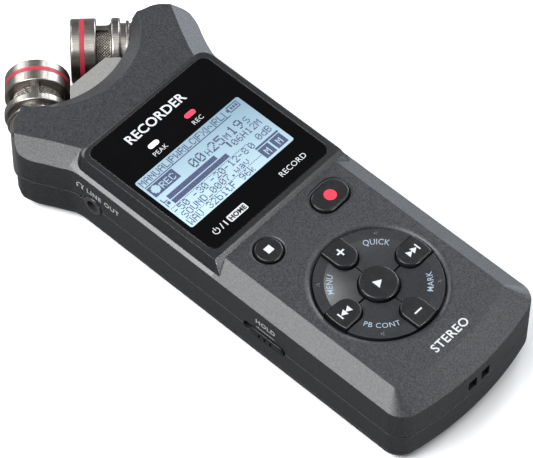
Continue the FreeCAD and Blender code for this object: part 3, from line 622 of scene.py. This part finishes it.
# ------------------------------------------------------------------ display
GLYPHS = {
    "A": ".###. #...# #...# ##### #...# #...# #...#", "B": "####. #...# #...# ####. #...# #...# ####.",
    "C": ".###. #...# #.... #.... #.... #...# .###.", "D": "####. #...# #...# #...# #...# #...# ####.",
    "E": "##### #.... #.... ####. #.... #.... #####", "F": "##### #.... #.... ####. #.... #.... #....",
    "H": "#...# #...# #...# ##### #...# #...# #...#", "K": "#...# #..#. #.#.. ##... #.#.. #..#. #...#",
    "L": "#.... #.... #.... #.... #.... #.... #####", "M": "#...# ##.## #.#.# #.#.# #...# #...# #...#",
    "N": "#...# ##..# #.#.# #.#.# #..## #...# #...#", "O": ".###. #...# #...# #...# #...# #...# .###.",
    "P": "####. #...# #...# ####. #.... #.... #....", "R": "####. #...# #...# ####. #.#.. #..#. #...#",
    "S": ".#### #.... #.... .###. ....# ....# ####.", "U": "#...# #...# #...# #...# #...# #...# .###.",
    "V": "#...# #...# #...# #...# #...# .#.#. ..#..", "W": "#...# #...# #...# #.#.# #.#.# ##.## #...#",
    "X": "#...# #...# .#.#. ..#.. .#.#. #...# #...#", "0": ".###. #...# #..## #.#.# ##..# #...# .###.",
    "1": "..#.. .##.. ..#.. ..#.. ..#.. ..#.. .###.", "2": ".###. #...# ....# ...#. ..#.. .#... #####",
    "3": ".###. #...# ....# ..##. ....# #...# .###.", "5": "##### #.... ####. ....# ....# #...# .###.",
    "6": "..##. .#... #.... ####. #...# #...# .###.", "7": "##### ....# ...#. ..#.. .#... .#... .#...",
    "8": ".###. #...# #...# .###. #...# #...# .###.", "9": ".###. #...# #...# .#### ....# ...#. .##..",
    "a": "..... ..... .###. ....# .#### #...# .####", "b": "#.... #.... ####. #...# #...# #...# ####.",
    "d": "....# ....# .#### #...# #...# #...# .####", "i": "..#.. ..... .##.. ..#.. ..#.. ..#.. .###.",
    "k": "#.... #.... #..#. #.#.. ##... #.#.. #..#.", "t": ".#... .#... ###.. .#... .#... .#..# ..##.",
    "v": "..... ..... #...# #...# #...# .#.#. ..#..", "w": "..... ..... #...# #...# #.#.# #.#.# .#.#.",
    "-": "..... ..... ..... ####. ..... ..... .....", ".": "..... ..... ..... ..... ..... .##.. .##..",
    "_": "..... ..... ..... ..... ..... ..... #####", "|": "..#.. ..#.. ..#.. ..#.. ..#.. ..#.. ..#..",
    "~": "..... ..... .##.. #..#. #..## ..... .....", " ": "..... ..... ..... ..... ..... ..... .....",
}
COLUMNS = 128
ROWS = 64
DIGIT_SCALE = 1.45
GLYPH_ROWS = 7
GLYPH_STEP = 6
COUNTER_ROW = 39

# Gap between dots, their thickness, and the share of the display that the dots fill
DOT_GAP = 0.02
DOT_T = 0.01 * MM
DOTS_WIDE = 0.965
DOTS_TALL = 0.95


def set_dot(cells, x, y, on):
    if on:
        cells.add((x, y))
    else:
        cells.discard((x, y))


def write(cells, text, x, y, on=True):
    """Sets the dots of a text whose lower left dot is x, y."""
    for letter in text:
        for row, line in enumerate(GLYPHS[letter].split()):
            for column, dot in enumerate(line):
                if dot == "#":
                    set_dot(cells, x + column, y + GLYPH_ROWS - 1 - row, on)
        x += GLYPH_STEP
    return x


def fill(cells, x0, x1, y0, y1, on=True):
    for x in range(x0, x1 + 1):
        for y in range(y0, y1 + 1):
            set_dot(cells, x, y, on)


def display_cells():
    cells = set()
    x = 0
    for word in ("MANUAL", "PWR", "LC", "FX", "~", "RL"):
        x = write(cells, word, x, 57)
        fill(cells, x, x, 55, 63)
        x += 2
    fill(cells, 0, 110, 55, 55)
    # Battery sign
    fill(cells, 113, 125, 57, 63)
    fill(cells, 114, 124, 58, 62, on=False)
    for bar_x in (116, 119, 122):
        fill(cells, bar_x, bar_x + 1, 59, 61)
    fill(cells, 111, 112, 59, 61)
    # Small unit letters of the counter
    for unit, x in (("H", 65), ("M", 89), ("S", 114)):
        write(cells, unit, x, COUNTER_ROW)
    # Recording sign, reversed out of a dark block
    fill(cells, 0, 31, 42, 53)
    write(cells, "REC", 12, 44, on=False)
    for dx in range(-4, 5):
        for dy in range(-4, 5):
            if dx * dx + dy * dy <= 18:
                cells.discard((6 + dx, 48 + dy))
    write(cells, "06H12M", 89, 30)
    # Level meters with their scale
    fill(cells, 7, 67, 32, 36)
    fill(cells, 7, 76, 26, 30)
    fill(cells, 0, 4, 33, 33)
    fill(cells, 0, 0, 33, 37)
    fill(cells, 0, 0, 27, 31)
    fill(cells, 2, 4, 29, 31)
    fill(cells, 85, 86, 32, 38)
    for tick in range(0, 98, 2):
        cells.add((tick, 24))
    for label, at in (("-50", 0), ("-30", 24), ("-20", 46), ("-12", 64), ("-8", 82), ("0", 96)):
        write(cells, label, at, 17)
    write(cells, "0dB", 108, 19)
    write(cells, "SOUND_0007.wav", 2, 9)
    for dot in range(0, 100, 2):
        cells.add((dot, 7))
    write(cells, "WAV 32bitF 96k", 0, 0)
    for left in (98, 113):
        fill(cells, left, left + 12, 1, 12)
        write(cells, "M", left + 4, 3, on=False)
    fill(cells, 98, 126, 14, 15)
    return cells


def add_dots(bm, cells, x0, y0, pitch_x, pitch_y, z):
    """Plates for the dots, one for each unbroken run in a row."""
    done = set()
    for column, row in sorted(cells, key=lambda c: (c[1], c[0])):
        if (column, row) in done:
            continue
        end = column
        while (end + 1, row) in cells:
            end += 1
        done.update((i, row) for i in range(column, end + 1))
        run = bar(x0 + column * pitch_x, x0 + (end + 1) * pitch_x - DOT_GAP,
                  y0 + row * pitch_y, y0 + (row + 1) * pitch_y - DOT_GAP)
        plate(bm, [(x * MM, y * MM) for x, y in run], z, DOT_T)


def add_display():
    """Picture of the display, drawn on the front of the window that covers the panel."""
    low, high = LCD_BOX
    glass = TOP["display_window"]
    outline = round_bar(low.x / MM, high.x / MM, low.y / MM, high.y / MM, 0.7)
    image = placed(plates([outline]), *DISPLAY_SHIFT, glass + LIFT)
    piece("display_image", image, "display", "housing")
    pitch_x = (high.x - low.x) / MM * DOTS_WIDE / COLUMNS
    pitch_y = (high.y - low.y) / MM * DOTS_TALL / ROWS
    x0 = (low.x + high.x) / 2 / MM - pitch_x * COLUMNS / 2 + DISPLAY_SHIFT[0]
    y0 = (low.y + high.y) / 2 / MM - pitch_y * ROWS / 2 + DISPLAY_SHIFT[1]
    bm = bmesh.new()
    z = (glass + LIFT) * MM + PRINT_T
    add_dots(bm, display_cells(), x0, y0, pitch_x, pitch_y, z)
    digits = set()
    for pair, x in (("00", 32), ("25", 49), ("19", 66)):
        write(digits, pair, x, 0)
    add_dots(bm, digits, x0, y0 + COUNTER_ROW * pitch_y, pitch_x * DIGIT_SCALE, pitch_y * DIGIT_SCALE, z)
    piece("display_dots", from_bmesh(bm), "ink_dot", "housing")


# ------------------------------------------------------------------ side wall print
# Flat part of the left wall, and how far print stands off it
SIDE_WALL_X = -26.5
SIDE_LIFT = 0.07
HOLD_Y = -29.6

# Stands print up on the left wall: it reads along -Y with its top towards +Z
SIDE_TILT = Matrix(((0, 0, -1, 0), (-1, 0, 0, 0), (0, 1, 0, 0), (0, 0, 0, 1)))


def follow_wall(mesh):
    """Lays print made for the flat part of the left wall on the wall where it flares."""
    cover = NODES["front_cover"]
    to_node = cover.matrix_world.inverted()
    for vertex in mesh.vertices:
        start = Vector((2.0 * SIDE_WALL_X * MM, vertex.co.y, vertex.co.z))
        hit, place, _, _ = cover.ray_cast(to_node @ start, to_node.to_3x3() @ Vector((1, 0, 0)))
        if hit:
            vertex.co.x += (cover.matrix_world @ place).x - SIDE_WALL_X * MM
    return mesh


def add_side_print():
    wall = SIDE_WALL_X - SIDE_LIFT
    hold = placed(letters("HOLD", 1.7, 0.08, 1.1), wall, HOLD_Y, 17.6, SIDE_TILT)
    piece("word_hold", hold, "ink_white", "housing")
    arrow = plates([bar(-3.2, 3.2, -0.12, 0.12), [(-3.3, -0.1), (-2.2, 0.1), (-2.2, 0.65)]])
    placed(arrow, wall, HOLD_Y, 14.9, SIDE_TILT)
    piece("mark_hold_arrow", arrow, "ink_white", "housing")
    line = placed(letters("/ LINE OUT", 1.75, 0.085, 1.15), wall, 29.4, 17.4, SIDE_TILT)
    piece("word_line_out", follow_wall(line), "ink_white", "housing")
    # Headphone sign
    bm = bmesh.new()
    arc_plates(bm, 0.82, 1.2, 0.0, 180.0, 12)
    for x0, x1 in ((-1.2, -0.5), (0.5, 1.2)):
        plate(bm, [(x * MM, y * MM) for x, y in bar(x0, x1, -0.95, 0.0)])
    phones = placed(from_bmesh(bm), wall, 36.9, 17.3, SIDE_TILT)
    piece("mark_headphones", follow_wall(phones), "ink_white", "housing")


# ------------------------------------------------------------------ woven microphone mesh
MIC_PIVOT = {side: Vector((sign * 22.6, 57.0, 12.2)) for side, sign in (("left", -1), ("right", 1))}
WIRE_R = 0.10
WIRE_SIDES = 4

# Weave round the inner tube: ends along the barrel, radius, wires each way, how far wires cross over
TUBE_START = 11.75
TUBE_END = 15.65
TUBE_R = 6.42
TUBE_WIRES = 52
TUBE_STEPS = 8
TUBE_CROSS = 0.07

# Weave over the front
FRONT_R = 7.0
FRONT_PITCH = 0.5
FRONT_X = 22.25
FRONT_CROSS = 0.06


def wire(bm, points):
    """Thin closed wire through the points."""
    radius = WIRE_R * MM
    rings = []
    for i, point in enumerate(points):
        ahead = points[min(i + 1, len(points) - 1)] - points[max(i - 1, 0)]
        turn = ahead.to_track_quat("Z", "Y")
        ring = []
        for k in range(WIRE_SIDES):
            a = 2 * math.pi * (k + 0.5) / WIRE_SIDES
            ring.append(bm.verts.new(point + turn @ Vector((radius * math.cos(a), radius * math.sin(a), 0))))
        rings.append(ring)
    for one, two in zip(rings[:-1], rings[1:]):
        for k in range(WIRE_SIDES):
            n = (k + 1) % WIRE_SIDES
            bm.faces.new((one[k], one[n], two[n], two[k]))
    bm.faces.new(list(reversed(rings[0])))
    bm.faces.new(rings[-1])


def add_cage_mesh(side):
    """Diagonal woven wires round the inner tube of a microphone."""
    bm = bmesh.new()
    twist = (TUBE_END - TUBE_START) / TUBE_R
    for sense in (-1, 1):
        for i in range(TUBE_WIRES):
            start = 2 * math.pi * i / TUBE_WIRES
            points = []
            for k in range(TUBE_STEPS + 1):
                share = k / TUBE_STEPS
                angle = start + sense * twist * share
                out = TUBE_R + TUBE_CROSS * sense * (1 if (i + k) % 2 else -1)
                along = TUBE_START + (TUBE_END - TUBE_START) * share
                points.append(Vector((along, out * math.cos(angle), out * math.sin(angle))) * MM)
            wire(bm, points)
    mesh = from_bmesh(bm)
    mesh.transform(mic_place(side))
    piece("mic_weave_" + side, mesh, "mesh", "mic_" + side)


def add_front_mesh(side):
    """Square woven wires over the front of a microphone."""
    bm = bmesh.new()
    count = int(FRONT_R / FRONT_PITCH)
    for family in (0, 1):
        for i in range(-count, count + 1):
            offset = i * FRONT_PITCH
            half = math.sqrt(max(FRONT_R * FRONT_R - offset * offset, 0.0))
            if half < FRONT_PITCH:
                continue
            steps = max(2, int(2 * half / FRONT_PITCH))
            points = []
            for k in range(steps + 1):
                run = -half + 2 * half * k / steps
                over = FRONT_CROSS * (1 if (i + k + family) % 2 else -1)
                y, z = (offset, run) if family else (run, offset)
                points.append(Vector((FRONT_X + over, y, z)) * MM)
            wire(bm, points)
    mesh = from_bmesh(bm)
    mesh.transform(mic_place(side))
    piece("mic_front_weave_" + side, mesh, "mesh", "mic_" + side)


def mic_place(side):
    return Matrix.Translation(MIC_PIVOT[side] * MM) @ Matrix.Rotation(math.radians(MIC_TURN[side]), 4, "Z")


# ------------------------------------------------------------------ floor
FLOOR_HALF = 6.0
FLOOR_Z = -0.2 * MM
FLOOR_PALE = (0.86, 0.865, 0.87)
FLOOR_DIM = (0.20, 0.20, 0.205, 1)


def add_floor():
    """Pale floor to the camera's own rays, dimmer in what it reflects on the object."""
    bm = bmesh.new()
    bmesh.ops.create_grid(bm, x_segments=1, y_segments=1, size=FLOOR_HALF)
    mesh = bpy.data.meshes.new("floor")
    bm.to_mesh(mesh)
    bm.free()
    floor = bpy.data.objects.new("floor", mesh)
    bpy.context.scene.collection.objects.link(floor)
    floor.location.z = FLOOR_Z
    shader = Shader("floor_paper", FLOOR_PALE, 0.9, specular=0.2)
    shader.tint(shader.noise(400.0), 0.995, 1.0)
    dim = shader.node("ShaderNodeBsdfDiffuse")
    dim.inputs["Color"].default_value = FLOOR_DIM
    seen = shader.node("ShaderNodeLightPath")
    either = shader.node("ShaderNodeMixShader")
    shader.link(seen.outputs["Is Camera Ray"], either.inputs[0])
    shader.link(dim.outputs["BSDF"], either.inputs[1])
    shader.link(shader.bsdf.outputs["BSDF"], either.inputs[2])
    shader.link(either.outputs["Shader"], shader.tree.nodes["Material Output"].inputs["Surface"])
    mesh.materials.append(shader.material)


add_camera()
add_lights()
dress_nodes()
add_pad_words()
add_key_marks()
add_window_print()
add_face_print()
add_display()
add_side_print()
for mic_side in ("left", "right"):
    add_cage_mesh(mic_side)
    add_front_mesh(mic_side)
add_floor()

bpy.context.view_layer.update()
